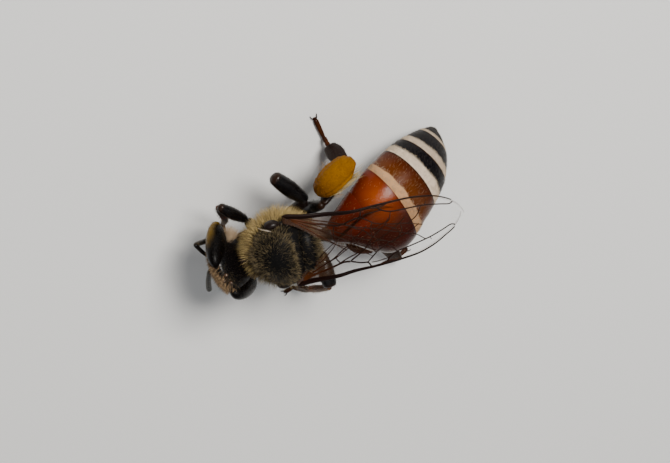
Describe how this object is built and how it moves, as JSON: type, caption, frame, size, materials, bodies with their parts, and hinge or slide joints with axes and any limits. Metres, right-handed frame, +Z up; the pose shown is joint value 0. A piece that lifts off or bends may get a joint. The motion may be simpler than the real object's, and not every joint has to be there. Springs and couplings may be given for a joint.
{
  "type": "honey bee",
  "caption": "Life-size still model of a red dwarf honey bee worker standing with folded wings, elbowed feelers and full pollen baskets on its hind legs.",
  "frame": {"origin": "the point on the floor under the middle of the whole bee's bounding box", "axes": "+Z up, the head points to -Y and the abdomen's end to +Y, the bee's left side is +X"},
  "size_m": [0.0066, 0.0096, 0.005],
  "materials": {
    "black_cuticle": "glossy black shell with short tan and grey hair; grown insect shell, not plastic",
    "brown_cuticle": "satin reddish-brown shell of the feet, jaws, tongue and wing-root covers; grown insect shell, not plastic",
    "rust_cuticle": "glossy orange-red shell of the first abdomen plates; grown insect shell, not plastic",
    "eye_surface": "glossy dark compound eye with an amber rim and fine facets; grown insect shell, not plastic",
    "wing_membrane": "clear, slightly smoky membrane with brown veins; a wing, not plastic",
    "pollen_load": "dry grainy orange-ochre packed pollen, not plastic"
  },
  "bodies": {
    "root": {"abdomen_t1": "rust_cuticle", "abdomen_t2": "rust_cuticle", "abdomen_t3": "rust_cuticle", "abdomen_t4": "black_cuticle", "abdomen_t5": "black_cuticle", "abdomen_t6": "black_cuticle", "antenna_left_flagellum": "black_cuticle", "antenna_left_scape": "black_cuticle", "antenna_right_flagellum": "black_cuticle", "antenna_right_scape": "black_cuticle", "eye_left": "eye_surface", "eye_right": "eye_surface", "forewing_left": "wing_membrane", "forewing_right": "wing_membrane", "head": "black_cuticle", "hindwing_left": "wing_membrane", "hindwing_right": "wing_membrane", "leg_fore_left_basitarsus": "brown_cuticle", "leg_fore_left_coxa": "black_cuticle", "leg_fore_left_femur": "black_cuticle", "leg_fore_left_tarsus": "brown_cuticle", "leg_fore_left_tibia": "black_cuticle", "leg_fore_right_basitarsus": "brown_cuticle", "leg_fore_right_coxa": "black_cuticle", "leg_fore_right_femur": "black_cuticle", "leg_fore_right_tarsus": "brown_cuticle", "leg_fore_right_tibia": "black_cuticle", "leg_hind_left_basitarsus": "brown_cuticle", "leg_hind_left_coxa": "black_cuticle", "leg_hind_left_femur": "black_cuticle", "leg_hind_left_tarsus": "brown_cuticle", "leg_hind_left_tibia": "black_cuticle", "leg_hind_right_basitarsus": "brown_cuticle", "leg_hind_right_coxa": "black_cuticle", "leg_hind_right_femur": "black_cuticle", "leg_hind_right_tarsus": "brown_cuticle", "leg_hind_right_tibia": "black_cuticle", "leg_mid_left_basitarsus": "brown_cuticle", "leg_mid_left_coxa": "black_cuticle", "leg_mid_left_femur": "black_cuticle", "leg_mid_left_tarsus": "brown_cuticle", "leg_mid_left_tibia": "black_cuticle", "leg_mid_right_basitarsus": "brown_cuticle", "leg_mid_right_coxa": "black_cuticle", "leg_mid_right_femur": "black_cuticle", "leg_mid_right_tarsus": "brown_cuticle", "leg_mid_right_tibia": "black_cuticle", "mandible_left": "brown_cuticle", "mandible_right": "brown_cuticle", "neck": "black_cuticle", "petiole": "black_cuticle", "pollen_left": "pollen_load", "pollen_right": "pollen_load", "proboscis": "brown_cuticle", "scutellum": "black_cuticle", "tegula_left": "brown_cuticle", "tegula_right": "brown_cuticle", "thorax": "black_cuticle"}
  },
  "joints": []
}
